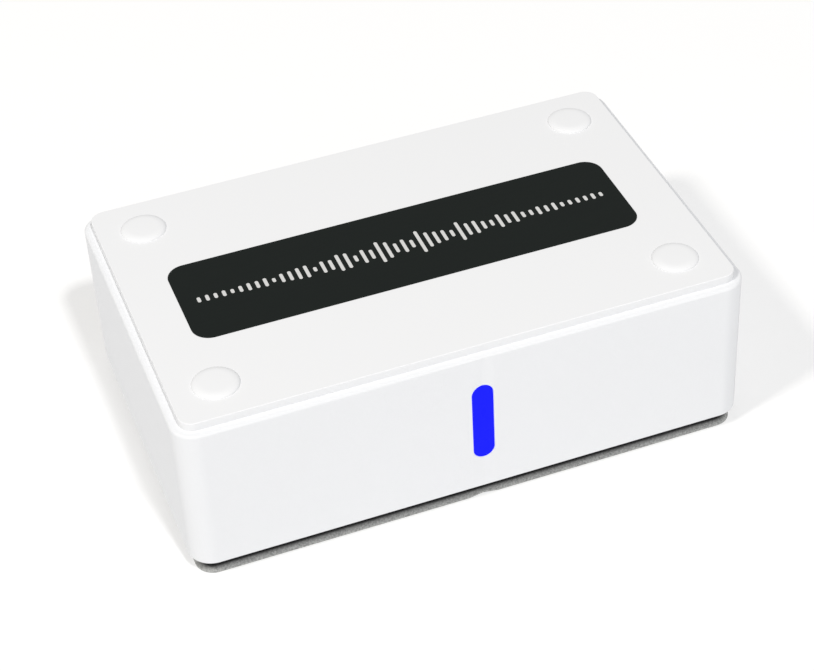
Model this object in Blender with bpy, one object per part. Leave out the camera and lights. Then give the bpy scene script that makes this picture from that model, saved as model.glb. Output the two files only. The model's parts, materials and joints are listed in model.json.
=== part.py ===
"""Bluetooth audio receiver: a white moulded case on a grey base tray, as its separate parts.

Run it with: blender --background --python part.py
Metres, +Z up, front towards -Y. The origin is at the bottom centre of the whole object's box.
Every part hangs on one empty at the middle of the case, so places below are case places.
"""
import math

import bmesh
import bpy

MM = 0.001
GAP = 0.3 * MM                      # clearance between two parts that touch or fit together

# ---- Case, outside ----
CASE_WIDTH = 100.0 * MM
CASE_DEPTH = 63.5 * MM
CORNER = 4.3 * MM                   # radius of the upright corners
WALL = 2.2 * MM
FOOT_STANDOUT = 0.5 * MM            # how far the feet hold the tray off the table
TRAY_FLOOR = 2.2 * MM
TRAY_INSET = 0.9 * MM               # the tray's edge lies this far inside the housing's
TRAY_SLOPE = 1.5 * MM               # and leans back by this much towards its top
HOUSING_HEIGHT = 28.5 * MM
RIM_WIDTH = 1.5 * MM                # ledge round the raised top plate
RIM_ROUND = 0.65 * MM
PLATE_PROUD = 1.55 * MM
RECESS_DEPTH = 1.0 * MM
PLATE_CORNER = 2.5 * MM

# ---- Heights above the table ----
TRAY_LOW = FOOT_STANDOUT
TRAY_TOP = TRAY_LOW + TRAY_FLOOR
HOUSING_LOW = TRAY_TOP + GAP
RIM_TOP = HOUSING_LOW + HOUSING_HEIGHT
RECESS_FLOOR = RIM_TOP - RECESS_DEPTH
CEILING = RECESS_FLOOR - WALL
PLATE_LOW = RECESS_FLOOR + GAP
PLATE_TOP = RIM_TOP + PLATE_PROUD

# ---- Screw columns in the corners, with their caps and feet ----
COLUMN_X = 40.5 * MM
COLUMN_Y = 22.3 * MM
CAP_RADIUS = 4.0 * MM
CAP_PROUD = 0.6 * MM
CAP_ROUND = 0.5 * MM
CAP_SEAT_DEPTH = 0.8 * MM
CAP_STEM_RADIUS = 3.2 * MM
HEAD_RADIUS = 2.7 * MM
HEAD_HEIGHT = 2.0 * MM
HEAD_SEAT = CEILING - 0.45 * MM     # floor of the hole that the screw head sits in
SHANK_RADIUS = 1.45 * MM
SCREW_END = 8.0 * MM
HOUSING_COLUMN_RADIUS = 4.2 * MM
TRAY_COLUMN_RADIUS = 3.5 * MM
COLUMN_SPLIT = 18.0 * MM            # height where the housing's column meets the tray's
FOOT_RADIUS = 4.0 * MM
FOOT_RECESS = 0.8 * MM

# ---- Front: centre valley and light pipe ----
VALLEY_X = 1.5 * MM
VALLEY_WIDTH = 4.0 * MM
VALLEY_DEPTH = 0.35 * MM
PIPE_WIDTH = 3.75 * MM
PIPE_HEIGHT = 15.8 * MM
PIPE_Z = HOUSING_LOW + 14.6 * MM
PIPE_SETBACK = 0.15 * MM            # its face lies this far behind the front of the case
PIPE_FLANGE = 1.5 * MM

# ---- Label ----
LABEL_WIDTH = 80.3 * MM
LABEL_DEPTH = 20.7 * MM
LABEL_CORNER = 3.3 * MM
LABEL_THICK = 0.7 * MM
LABEL_PROUD = 0.1 * MM
LABEL_X = -0.3 * MM
LABEL_Y = -0.8 * MM

# ---- Rear panel ----
WINDOW_WIDTH = 87.0 * MM
WINDOW_TOP = 27.1 * MM
PANEL_SETBACK = 0.6 * MM
PANEL_FLANGE = 1.5 * MM
REAR = CASE_DEPTH / 2
PANEL_OUT = REAR - PANEL_SETBACK
PANEL_STEP = REAR - WALL - GAP
PANEL_IN = PANEL_STEP - PANEL_FLANGE
JACK_FACE = PANEL_IN - GAP          # where the jack bodies stop, just behind the panel

# ---- Boards ----
BOARD_THICK = 1.6 * MM
BOARD_HALF_X = 36.5 * MM
BOARD_FRONT = -26.5 * MM
BOARD_REAR = 25.5 * MM
BOARD_LOW = 7.7 * MM
BOARD_TOP = BOARD_LOW + BOARD_THICK
SEAT = BOARD_TOP + GAP              # where the pieces on the board start
STANDOFF_PLACES = [(x * MM, y * MM) for y in (-21.5, 8.0) for x in (-32.5, 32.5)]
STANDOFF_RADIUS = 2.7 * MM
BOARD_SCREW_RADIUS = 1.1 * MM

# ---- Rear connectors and controls: places across the panel ----
PHONO_X = {"left": -15.0 * MM, "right": -29.0 * MM}
PHONO_Z = 17.0 * MM
PHONO_RADIUS = 4.15 * MM
PHONO_STANDOUT = 8.4 * MM           # barrel length beyond the back of the case
LINE_X = -3.0 * MM
LINE_Z = 12.6 * MM
PAIR_X = 8.0 * MM
PAIR_Z = 13.0 * MM
PAIR_TRAVEL = 0.4 * MM
SWITCH_X = 19.0 * MM                # middle of the slide switch; its knob rests to one side
SWITCH_Z = 12.2 * MM
SWITCH_TRAVEL = 4.0 * MM
POWER_X = 31.0 * MM
POWER_Z = 16.2 * MM

CASE_Y = -PHONO_STANDOUT / 2        # the case lies forward, so that the barrels' ends balance it
LONG = 100.0 * MM                   # longer than any wall, for cutters
ROUND_STEPS = 24
FINE_STEPS = 32


# ---------------------------------------------------------------- helpers

def finish(name, colour, roughness, metallic=0.0, glow=0.0):
    """Return a Principled BSDF material."""
    material = bpy.data.materials.new(name)
    material.use_nodes = True
    shader = material.node_tree.nodes["Principled BSDF"]
    shader.inputs["Base Color"].default_value = (*colour, 1.0)
    shader.inputs["Roughness"].default_value = roughness
    shader.inputs["Metallic"].default_value = metallic
    if glow:
        shader.inputs["Emission Color"].default_value = (*colour, 1.0)
        shader.inputs["Emission Strength"].default_value = glow
    return material


def block(size, radius=0.0, top=0.0, bottom=0.0, corner_steps=6, rim_steps=2):
    """Return a box about the origin, its upright edges and its two rims rounded."""
    bm = bmesh.new()
    bmesh.ops.create_cube(bm, size=1.0)
    bmesh.ops.scale(bm, vec=size, verts=bm.verts)
    if radius:
        upright = [e for e in bm.edges if abs(e.verts[0].co.z - e.verts[1].co.z) > size[2] / 2]
        bmesh.ops.bevel(bm, geom=upright, offset=radius, segments=corner_steps, profile=0.5,
                        affect='EDGES', material=-1)
    for width, side in ((top, 1), (bottom, -1)):
        if width:
            level = side * size[2] / 2
            rim = [e for e in bm.edges if all(abs(v.co.z - level) < 1e-7 for v in e.verts)]
            bmesh.ops.bevel(bm, geom=rim, offset=width, segments=rim_steps, profile=0.5,
                            affect='EDGES', material=-1)
    return bm


def turned(profile, steps=ROUND_STEPS, closed=False):
    """Return a solid of revolution about Z from (radius, height) points, top to bottom."""
    bm = bmesh.new()
    points = [bm.verts.new((radius, 0.0, height)) for radius, height in profile]
    followers = points[1:] + points[:1] if closed else points[1:]
    edges = [bm.edges.new(pair) for pair in zip(points, followers)]
    bmesh.ops.spin(bm, geom=points + edges, cent=(0, 0, 0), axis=(0, 0, 1), dvec=(0, 0, 0),
                   angle=2 * math.pi, steps=steps, use_merge=True, use_duplicate=False)
    bmesh.ops.remove_doubles(bm, verts=bm.verts, dist=1e-6)
    return bm


def rod(radius, low, high, steps=ROUND_STEPS):
    """Return a plain cylinder about Z."""
    return turned([(0, high), (radius, high), (radius, low), (0, low)], steps)


def place(name, bm, location=(0, 0, 0), material=None, turn=(0, 0, 0), parent=None):
    """Make a named object of a bmesh, and hang it on the case's empty or on another."""
    bmesh.ops.recalc_face_normals(bm, faces=bm.faces)
    mesh = bpy.data.meshes.new(name)
    bm.to_mesh(mesh)
    bm.free()
    mesh.shade_smooth()
    mesh.set_sharp_from_angle(angle=math.radians(35))
    if material:
        mesh.materials.append(material)
    obj = bpy.data.objects.new(name, mesh)
    bpy.context.scene.collection.objects.link(obj)
    obj.parent = parent or case
    obj.location = location
    obj.rotation_euler = turn
    return obj


def guide(name, bm, location=(0, 0, 0), turn=(0, 0, 0), parent=None):
    """Make a cutter or a filler, which is not a part itself."""
    obj = place(name, bm, location, None, turn, parent)
    obj.hide_render = True
    obj.display_type = 'WIRE'
    return obj


def combine(target, tool, operation):
    """Add a Boolean modifier that cuts the tool from the target, or adds it."""
    modifier = target.modifiers.new(tool.name, 'BOOLEAN')
    modifier.operation = operation
    modifier.solver = 'EXACT'
    modifier.object = tool


def cut(target, name, bm, location=(0, 0, 0), turn=(0, 0, 0)):
    """Cut a shape from a part."""
    combine(target, guide(name, bm, location, turn), 'DIFFERENCE')


def join(target, name, bm, location=(0, 0, 0), turn=(0, 0, 0)):
    """Add a shape to a part."""
    combine(target, guide(name, bm, location, turn), 'UNION')


def corners():
    """Yield each corner's short name and its column's place."""
    for row, y in (("front", -COLUMN_Y), ("rear", COLUMN_Y)):
        for side, x in (("left", -COLUMN_X), ("right", COLUMN_X)):
            yield f"{row}_{side}", x, y


def between(low, high):
    """Return the size and the middle of a span."""
    return high - low, (high + low) / 2


REARWARDS = (-math.pi / 2, 0, 0)    # turns a part's +Z to face the rear


def valley_cutter(width, depth):
    """Return a three-sided bar along Z, one edge of it pointing to the rear."""
    bm = block((width, 2 * depth, LONG))
    for v in bm.verts:
        if v.co.y > 0:
            v.co.x = 0.0
    bmesh.ops.remove_doubles(bm, verts=bm.verts, dist=1e-6)
    return bm


# ---------------------------------------------------------------- case

def make_housing():
    """White shell: four walls and a ceiling, open below, with a window behind."""
    height, middle = between(HOUSING_LOW, RIM_TOP)
    shell = block((CASE_WIDTH, CASE_DEPTH, height), CORNER, RIM_ROUND, 0.4 * MM, 8, 3)
    housing = place("upper_housing", shell, (0, 0, middle), white_plastic)
    height, middle = between(HOUSING_LOW - WALL, CEILING)
    hollow = block((CASE_WIDTH - 2 * WALL, CASE_DEPTH - 2 * WALL, height), CORNER - WALL)
    cut(housing, "housing_hollow", hollow, (0, 0, middle))
    side = 2 * (RIM_WIDTH - GAP)
    recess = block((CASE_WIDTH - side, CASE_DEPTH - side, 2 * RECESS_DEPTH), PLATE_CORNER + GAP)
    cut(housing, "plate_recess", recess, (0, 0, RIM_TOP))
    for corner, x, y in corners():
        column = rod(HOUSING_COLUMN_RADIUS, COLUMN_SPLIT, CEILING + WALL / 2)
        join(housing, f"housing_column_{corner}", column, (x, y, 0))
        hole = turned([(0, RIM_TOP), (HEAD_RADIUS + GAP, RIM_TOP), (HEAD_RADIUS + GAP, HEAD_SEAT),
                       (SHANK_RADIUS + GAP, HEAD_SEAT), (SHANK_RADIUS + GAP, COLUMN_SPLIT - WALL),
                       (0, COLUMN_SPLIT - WALL)])
        cut(housing, f"screw_hole_{corner}", hole, (x, y, 0))
    height, middle = between(HOUSING_LOW - WALL, WINDOW_TOP)
    window = block((WINDOW_WIDTH, 4 * WALL, height))
    cut(housing, "rear_window", window, (0, REAR, middle))
    cut(housing, "front_valley", valley_cutter(VALLEY_WIDTH, VALLEY_DEPTH),
        (VALLEY_X, -CASE_DEPTH / 2, 0))
    width = PIPE_WIDTH + 2 * GAP
    slot = block((width, PIPE_HEIGHT + 2 * GAP, 4 * WALL), width * 0.4999, corner_steps=10)
    cut(housing, "pipe_slot", slot, (VALLEY_X, -CASE_DEPTH / 2, PIPE_Z), REARWARDS)


def make_top_plate():
    """White plate that stands above the rim, with seats for the caps and the label."""
    side = 2 * RIM_WIDTH
    height, middle = between(PLATE_LOW, PLATE_TOP)
    slab = block((CASE_WIDTH - side, CASE_DEPTH - side, height), PLATE_CORNER, 0.35 * MM)
    plate = place("top_plate", slab, (0, 0, middle), white_plastic)
    seat = block((LABEL_WIDTH + 2 * GAP, LABEL_DEPTH + 2 * GAP,
                  2 * (LABEL_THICK - LABEL_PROUD + GAP)), LABEL_CORNER + GAP)
    cut(plate, "label_seat", seat, (LABEL_X, LABEL_Y, PLATE_TOP))
    for corner, x, y in corners():
        floor = PLATE_TOP - CAP_SEAT_DEPTH
        stem = CAP_STEM_RADIUS + GAP
        hole = turned([(0, PLATE_TOP + WALL), (CAP_RADIUS + GAP, PLATE_TOP + WALL),
                       (CAP_RADIUS + GAP, floor), (stem, floor), (stem, PLATE_LOW - WALL),
                       (0, PLATE_LOW - WALL)], FINE_STEPS)
        cut(plate, f"cap_seat_{corner}", hole, (x, y, 0))


def make_label():
    """Black plate let into the top plate."""
    plate = block((LABEL_WIDTH, LABEL_DEPTH, LABEL_THICK), LABEL_CORNER)
    middle = PLATE_TOP + LABEL_PROUD - LABEL_THICK / 2
    place("label_plate", plate, (LABEL_X, LABEL_Y, middle), black_plate)


def make_caps_screws_and_feet():
    """At each corner: the screw, the cap that hides it and the foot below."""
    for corner, x, y in corners():
        disc_low = PLATE_TOP - CAP_SEAT_DEPTH + GAP
        top = PLATE_TOP + CAP_PROUD
        cap = turned([(0, top), (CAP_RADIUS - 2 * CAP_ROUND, top),
                      (CAP_RADIUS - 0.7 * CAP_ROUND, top - 0.3 * CAP_ROUND), (CAP_RADIUS, top - CAP_ROUND),
                      (CAP_RADIUS, disc_low), (CAP_STEM_RADIUS, disc_low),
                      (CAP_STEM_RADIUS, PLATE_LOW), (0, PLATE_LOW)], FINE_STEPS)
        place(f"screw_cap_{corner}", cap, (x, y, 0), white_plastic)

        low = HEAD_SEAT + GAP
        high = low + HEAD_HEIGHT
        screw = turned([(0, high), (HEAD_RADIUS * 0.75, high), (HEAD_RADIUS, high - 0.7 * MM),
                        (HEAD_RADIUS, low), (SHANK_RADIUS, low),
                        (SHANK_RADIUS, SCREW_END + SHANK_RADIUS), (0, SCREW_END)])
        part = place(f"case_screw_{corner}", screw, (x, y, 0), plated_steel)
        for number, turn in enumerate((0, math.pi / 2)):
            slit = block((HEAD_RADIUS * 1.2, 0.8 * MM, HEAD_HEIGHT))
            cut(part, f"cross_{corner}_{number}", slit, (x, y, high), (0, 0, turn))

        foot_top = TRAY_LOW + FOOT_RECESS - GAP
        foot = turned([(0, foot_top), (FOOT_RADIUS, foot_top), (FOOT_RADIUS, 0.3 * MM),
                       (FOOT_RADIUS - 0.3 * MM, 0), (0, 0)])
        place(f"rubber_foot_{corner}", foot, (x, y, 0), grey_rubber)


def make_tray():
    """Grey base: floor with a sloped edge, lip inside the housing, screw columns and board standoffs."""
    width = CASE_WIDTH - 2 * TRAY_INSET
    depth = CASE_DEPTH - 2 * TRAY_INSET
    floor = block((width, depth, TRAY_FLOOR), CORNER - TRAY_INSET, TRAY_SLOPE, 0.3 * MM,
                  rim_steps=1)
    tray = place("base_tray", floor, (0, 0, TRAY_LOW + TRAY_FLOOR / 2), base_grey)

    outer = 2 * (WALL + GAP)
    low = TRAY_TOP - TRAY_FLOOR / 2
    height, middle = between(low, 6.5 * MM)
    lip = block((CASE_WIDTH - outer, CASE_DEPTH - outer, height), CORNER - WALL - GAP)
    join(tray, "lip", lip, (0, 0, middle))
    inner = outer + 2 * 1.5 * MM
    height, middle = between(TRAY_TOP, 2 * WINDOW_TOP)
    well = block((CASE_WIDTH - inner, CASE_DEPTH - inner, height), 1.5 * MM)
    cut(tray, "lip_well", well, (0, 0, middle))
    behind = block((CASE_WIDTH, 10 * MM, height))
    cut(tray, "lip_gap_for_panel", behind, (0, PANEL_IN - 0.6 * MM + 5 * MM, middle))

    for corner, x, y in corners():
        column = rod(TRAY_COLUMN_RADIUS, low, COLUMN_SPLIT - GAP)
        join(tray, f"tray_column_{corner}", column, (x, y, 0))
        pilot = rod(SHANK_RADIUS + GAP, SCREW_END - 1.0 * MM, COLUMN_SPLIT + WALL)
        cut(tray, f"pilot_{corner}", pilot, (x, y, 0))
        recess = rod(FOOT_RADIUS + GAP, TRAY_LOW - WALL, TRAY_LOW + FOOT_RECESS)
        cut(tray, f"foot_recess_{corner}", recess, (x, y, 0))
    for number, (x, y) in enumerate(STANDOFF_PLACES):
        post = rod(STANDOFF_RADIUS, low, BOARD_LOW - GAP)
        join(tray, f"standoff_{number}", post, (x, y, 0))
        pilot = rod(BOARD_SCREW_RADIUS + GAP, TRAY_TOP + 0.5 * MM, BOARD_TOP)
        cut(tray, f"standoff_pilot_{number}", pilot, (x, y, 0))
    cut(tray, "tray_notch", valley_cutter(VALLEY_WIDTH, 0.5 * MM), (VALLEY_X, -depth / 2, 0))


def make_rear_panel():
    """Dark panel behind the window, held by its flange, with holes for what passes through."""
    height, middle = between(HOUSING_LOW, WINDOW_TOP - GAP)
    thick, centre = between(PANEL_STEP - 0.5 * MM, PANEL_OUT)
    plate = block((WINDOW_WIDTH - 2 * GAP, thick, height))
    panel = place("rear_panel", plate, (0, centre, middle), panel_charcoal)
    height, middle = between(HOUSING_LOW, CEILING - GAP)
    thick, centre = between(PANEL_IN, PANEL_STEP)
    flange = block((WINDOW_WIDTH + 2 * PANEL_FLANGE - 2 * GAP, thick, height))
    join(panel, "panel_flange", flange, (0, centre, middle))
    round_holes = {"phono_left": (PHONO_X["left"], PHONO_Z, PHONO_RADIUS + GAP),
                   "phono_right": (PHONO_X["right"], PHONO_Z, PHONO_RADIUS + GAP),
                   "line": (LINE_X, LINE_Z, 3.3 * MM),
                   "pair": (PAIR_X, PAIR_Z, 2.6 * MM),
                   "power": (POWER_X, POWER_Z, 4.3 * MM)}
    for name, (x, z, radius) in round_holes.items():
        cut(panel, f"panel_hole_{name}", rod(radius, -LONG, LONG), (x, REAR, z), REARWARDS)
    slot = block((SWITCH_TRAVEL + 3.2 * MM, 8 * WALL, 3.2 * MM))
    cut(panel, "panel_slot_switch", slot, (SWITCH_X, REAR, SWITCH_Z))


# ---------------------------------------------------------------- light

def make_light():
    """Blue light pipe behind the front slot, and the small board with its two lamps."""
    front = -CASE_DEPTH / 2 + PIPE_SETBACK
    wall_inside = -CASE_DEPTH / 2 + WALL + GAP
    length, middle = between(front, wall_inside + PIPE_FLANGE / 2)
    nose = block((PIPE_WIDTH, PIPE_HEIGHT, length), PIPE_WIDTH * 0.4999, bottom=0.25 * MM,
                 corner_steps=10)
    pipe = place("light_pipe", nose, (VALLEY_X, middle, PIPE_Z), blue_acrylic, REARWARDS)
    flange = block((PIPE_WIDTH + 2 * PIPE_FLANGE, PIPE_HEIGHT + 2 * PIPE_FLANGE, PIPE_FLANGE),
                   PIPE_WIDTH / 2)
    join(pipe, "pipe_flange", flange, (VALLEY_X, wall_inside + PIPE_FLANGE / 2, PIPE_Z),
         REARWARDS)

    lamp_front = wall_inside + PIPE_FLANGE + GAP
    lamp_depth = 1.2 * MM
    for name, offset in (("lower", -4.0 * MM), ("upper", 4.0 * MM)):
        lamp = block((3.0 * MM, lamp_depth, 2.6 * MM))
        place(f"status_lamp_{name}", lamp,
              (VALLEY_X, lamp_front + lamp_depth / 2, PIPE_Z + offset), blue_lamp)
    board_front = lamp_front + lamp_depth + GAP
    thick = 1.0 * MM
    height, middle = between(SEAT, PIPE_Z + PIPE_HEIGHT / 2)
    place("lamp_board", block((12.0 * MM, thick, height)),
          (VALLEY_X, board_front + thick / 2, middle), board_green)


# ---------------------------------------------------------------- electronics

def make_main_board():
    """Main circuit board on its four standoffs, with its screws."""
    depth, middle = between(BOARD_FRONT, BOARD_REAR)
    slab = block((2 * BOARD_HALF_X, depth, BOARD_THICK), 1.0 * MM, corner_steps=3)
    board = place("main_board", slab, (0, middle, BOARD_LOW + BOARD_THICK / 2), board_green)
    for number, (x, y) in enumerate(STANDOFF_PLACES):
        hole = rod(BOARD_SCREW_RADIUS + GAP, BOARD_LOW - WALL, BOARD_TOP + WALL)
        cut(board, f"board_hole_{number}", hole, (x, y, 0))
        head = 2.2 * MM
        high = SEAT + 1.5 * MM
        screw = turned([(0, high), (head * 0.7, high), (head, high - 0.6 * MM), (head, SEAT),
                        (BOARD_SCREW_RADIUS, SEAT), (BOARD_SCREW_RADIUS, TRAY_TOP + 1.5 * MM),
                        (0, TRAY_TOP + 1.0 * MM)], 16)
        place(f"board_screw_{number + 1}", screw, (x, y, 0), plated_steel)


def on_board(name, size, x, y, material, radius=0.0, top=0.0, lift=0.0):
    """Stand a block on the main board."""
    middle = SEAT + lift + size[2] / 2
    place(name, block(size, radius, top, corner_steps=3), (x, y, middle), material)


def make_board_pieces():
    """Radio module, chips, coil, crystal and reservoir capacitors."""
    module = (26.0 * MM, 13.0 * MM, 1.0 * MM)
    on_board("radio_module_board", module, -16.0 * MM, -14.0 * MM, board_green)
    lift = module[2] + GAP
    on_board("radio_shield_can", (15.0 * MM, 11.0 * MM, 2.0 * MM), -12.0 * MM, -14.0 * MM,
             plated_steel, top=0.3 * MM, lift=lift)
    on_board("radio_antenna", (5.0 * MM, 9.0 * MM, 0.8 * MM), -25.5 * MM, -14.0 * MM,
             ceramic_white, lift=lift)
    on_board("converter_chip", (10.0 * MM, 6.2 * MM, 1.6 * MM), -20.0 * MM, 4.0 * MM, chip_black)
    on_board("output_driver_chip", (5.0 * MM, 4.0 * MM, 1.5 * MM), -4.0 * MM, 4.0 * MM,
             chip_black)
    on_board("voltage_regulator", (6.5 * MM, 3.5 * MM, 1.7 * MM), 27.0 * MM, 0.0, chip_black)
    on_board("power_coil", (6.0 * MM, 6.0 * MM, 3.0 * MM), 22.0 * MM, -8.0 * MM, ferrite_grey,
             radius=1.2 * MM, top=0.3 * MM)
    on_board("clock_crystal", (11.0 * MM, 4.6 * MM, 3.5 * MM), 8.0 * MM, -8.0 * MM,
             plated_steel, radius=2.2 * MM, top=0.3 * MM)
    places = [(8.0, 6.0), (17.0, 6.0), (13.0, -16.0)]
    for number, (x, y) in enumerate(places):
        radius = 3.15 * MM
        high = SEAT + 8.0 * MM
        can = turned([(0, high), (radius - 0.4 * MM, high), (radius, high - 0.4 * MM),
                      (radius, SEAT + 1.6 * MM), (radius - 0.35 * MM, SEAT + 1.3 * MM),
                      (radius, SEAT + 1.0 * MM), (radius, SEAT), (0, SEAT)])
        place(f"reservoir_capacitor_{number + 1}", can, (x * MM, y * MM, 0), capacitor_can)


# ---------------------------------------------------------------- rear connectors

def make_phono_jacks():
    """Twin phono output: one block on the board, and each socket's barrel, ring and contact."""
    side = 6.5 * MM
    width, middle_x = between(PHONO_X["right"] - side, PHONO_X["left"] + side)
    height, middle_z = between(SEAT, PHONO_Z + side)
    depth = 12.0 * MM
    place("phono_block", block((width, depth, height)),
          (middle_x, JACK_FACE - depth / 2, middle_z), jack_black)
    end = REAR + PHONO_STANDOUT
    start = JACK_FACE + GAP
    shell_in = 3.3 * MM
    ring_out, ring_in = 3.0 * MM, 2.2 * MM
    contact_out, contact_in = 1.9 * MM, 1.6 * MM
    edge = 0.3 * MM
    for side_name, ring_finish in (("left", pale_plastic), ("right", red_plastic)):
        x = PHONO_X[side_name]
        high, low = end, start
        shell = turned([(shell_in, high), (PHONO_RADIUS - edge, high), (PHONO_RADIUS, high - edge),
                        (PHONO_RADIUS, low), (shell_in, low)], closed=True)
        place(f"phono_barrel_{side_name}", shell, (x, 0, PHONO_Z), gold_plate, REARWARDS)
        high = end - 0.6 * MM
        ring = turned([(ring_in, high), (ring_out, high), (ring_out, low), (ring_in, low)],
                      closed=True)
        place(f"phono_insulator_{side_name}", ring, (x, 0, PHONO_Z), ring_finish, REARWARDS)
        high = end - 1.0 * MM
        contact = turned([(contact_in, high), (contact_out, high), (contact_out, low),
                          (contact_in, low)], closed=True)
        place(f"phono_contact_{side_name}", contact, (x, 0, PHONO_Z), gold_plate, REARWARDS)


def make_line_jack():
    """3.5 mm stereo output: body with its nose in the panel, and the metal sleeve inside."""
    width, depth = 6.4 * MM, 14.0 * MM
    height, middle = between(SEAT, LINE_Z + 3.0 * MM)
    body = place("line_jack_body", block((width, depth, height)),
                 (LINE_X, JACK_FACE - depth / 2, middle), jack_black)
    nose_end = PANEL_OUT + 0.3 * MM
    nose = rod(3.0 * MM, JACK_FACE - 1.0 * MM, nose_end)
    join(body, "line_nose", nose, (LINE_X, 0, LINE_Z), REARWARDS)
    bore, sleeve_out, sleeve_depth = 1.8 * MM, 2.3 * MM, 4.0 * MM
    hole = turned([(0, nose_end + WALL), (sleeve_out + GAP, nose_end + WALL),
                   (sleeve_out + GAP, nose_end - sleeve_depth), (bore, nose_end - sleeve_depth),
                   (bore, nose_end - 15.0 * MM), (0, nose_end - 15.0 * MM)])
    cut(body, "line_bore", hole, (LINE_X, 0, LINE_Z), REARWARDS)
    low = nose_end - sleeve_depth + GAP
    sleeve = turned([(bore, nose_end), (sleeve_out, nose_end), (sleeve_out, low), (bore, low)],
                    closed=True)
    place("line_jack_sleeve", sleeve, (LINE_X, 0, LINE_Z), plated_steel, REARWARDS)


def make_power_jack():
    """Low-voltage supply inlet: body with a round nose, and its centre pin."""
    width, depth = 9.0 * MM, 13.5 * MM
    height, middle = between(SEAT, POWER_Z + 4.4 * MM)
    body = place("power_jack_body", block((width, depth, height)),
                 (POWER_X, JACK_FACE - depth / 2, middle), jack_black)
    nose_end = PANEL_OUT - 0.2 * MM
    join(body, "power_nose", rod(4.0 * MM, JACK_FACE - 1.0 * MM, nose_end),
         (POWER_X, 0, POWER_Z), REARWARDS)
    floor = nose_end - 10.0 * MM
    cut(body, "power_bore", rod(3.1 * MM, floor, nose_end + WALL), (POWER_X, 0, POWER_Z),
        REARWARDS)
    pin = turned([(0, nose_end - 0.8 * MM), (0.7 * MM, nose_end - 0.8 * MM),
                  (1.0 * MM, nose_end - 1.3 * MM), (1.0 * MM, floor + GAP), (0, floor + GAP)], 16)
    place("power_jack_pin", pin, (POWER_X, 0, POWER_Z), plated_steel, REARWARDS)


# ---------------------------------------------------------------- controls

def travel_empty(name, location):
    """Make the empty that a moving part hangs on, on its line of travel."""
    empty = bpy.data.objects.new(name, None)
    bpy.context.scene.collection.objects.link(empty)
    empty.parent = case
    empty.location = location
    return empty


def make_power_switch():
    """Slide switch: its case on the board, and the knob that reaches through the panel."""
    knob = 2.6 * MM
    width, depth, pocket = 9.6 * MM, 5.0 * MM, 3.0 * MM
    height, middle = between(SEAT, SWITCH_Z + 2.6 * MM)
    body = place("power_switch_case", block((width, depth, height)),
                 (SWITCH_X, JACK_FACE - depth / 2, middle), plated_steel)
    slot = block((SWITCH_TRAVEL + knob + 2 * GAP, 2 * pocket, knob + 2 * GAP))
    cut(body, "switch_pocket", slot, (SWITCH_X, JACK_FACE, SWITCH_Z))
    line = travel_empty("power_switch_line", (SWITCH_X - SWITCH_TRAVEL / 2, REAR, SWITCH_Z))
    length, centre = between(JACK_FACE - pocket + GAP, REAR + 0.8 * MM)
    stem = block((knob, knob, length), top=0.25 * MM)
    place("power_switch_knob", stem, (0, centre - REAR, 0), jack_black, REARWARDS, line)


def make_pair_button():
    """Pairing button: the switch on the board, its plunger, and the cap in the panel."""
    flange_low = JACK_FACE - 0.9 * MM
    body_face = flange_low - 1.0 * MM
    plunger_radius = 1.7 * MM
    depth = 4.0 * MM
    height, middle = between(SEAT, PAIR_Z + 3.0 * MM)
    body = place("pair_switch_body", block((6.0 * MM, depth, height)),
                 (PAIR_X, body_face - depth / 2, middle), chip_black)
    bore_floor = body_face - 2.3 * MM
    cut(body, "pair_bore", rod(plunger_radius + GAP, bore_floor, body_face + WALL),
        (PAIR_X, 0, PAIR_Z), REARWARDS)
    line = travel_empty("pair_button_line", (PAIR_X, 0, PAIR_Z))
    low = bore_floor + PAIR_TRAVEL + 2 * GAP
    plunger = rod(plunger_radius, low, flange_low - GAP, 16)
    place("pair_switch_plunger", plunger, (0, 0, 0), pale_plastic, REARWARDS, line)
    top = REAR + 0.5 * MM
    stem, flange = 2.3 * MM, 3.3 * MM
    cap = turned([(0, top), (stem - 0.4 * MM, top), (stem, top - 0.4 * MM), (stem, JACK_FACE),
                  (flange, JACK_FACE), (flange, flange_low), (0, flange_low)])
    place("pair_button_cap", cap, (0, 0, 0), jack_black, REARWARDS, line)


# ---------------------------------------------------------------- build

for leftover in list(bpy.data.objects):
    bpy.data.objects.remove(leftover)

case = bpy.data.objects.new("case_middle", None)
bpy.context.scene.collection.objects.link(case)
case.location = (0, CASE_Y, 0)

white_plastic = finish("white_plastic", (0.86, 0.86, 0.85), 0.5)
base_grey = finish("base_grey", (0.2, 0.2, 0.2), 0.6)
panel_charcoal = finish("panel_charcoal", (0.035, 0.035, 0.038), 0.55)
black_plate = finish("black_plate", (0.018, 0.019, 0.018), 0.35)
grey_rubber = finish("grey_rubber", (0.05, 0.05, 0.05), 0.8)
blue_acrylic = finish("blue_acrylic", (0.02, 0.02, 1.0), 0.25, glow=1.0)
blue_lamp = finish("blue_lamp", (0.3, 0.35, 1.0), 0.3, glow=2.0)
board_green = finish("board_green", (0.02, 0.16, 0.06), 0.45)
chip_black = finish("chip_black", (0.02, 0.02, 0.022), 0.5)
ceramic_white = finish("ceramic_white", (0.8, 0.78, 0.72), 0.4)
ferrite_grey = finish("ferrite_grey", (0.08, 0.08, 0.085), 0.6)
capacitor_can = finish("capacitor_can", (0.7, 0.7, 0.72), 0.3, 1.0)
plated_steel = finish("plated_steel", (0.62, 0.62, 0.63), 0.3, 1.0)
gold_plate = finish("gold_plate", (0.83, 0.6, 0.25), 0.25, 1.0)
jack_black = finish("jack_black", (0.02, 0.02, 0.02), 0.45)
pale_plastic = finish("pale_plastic", (0.75, 0.75, 0.73), 0.4)
red_plastic = finish("red_plastic", (0.6, 0.02, 0.02), 0.4)

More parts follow.
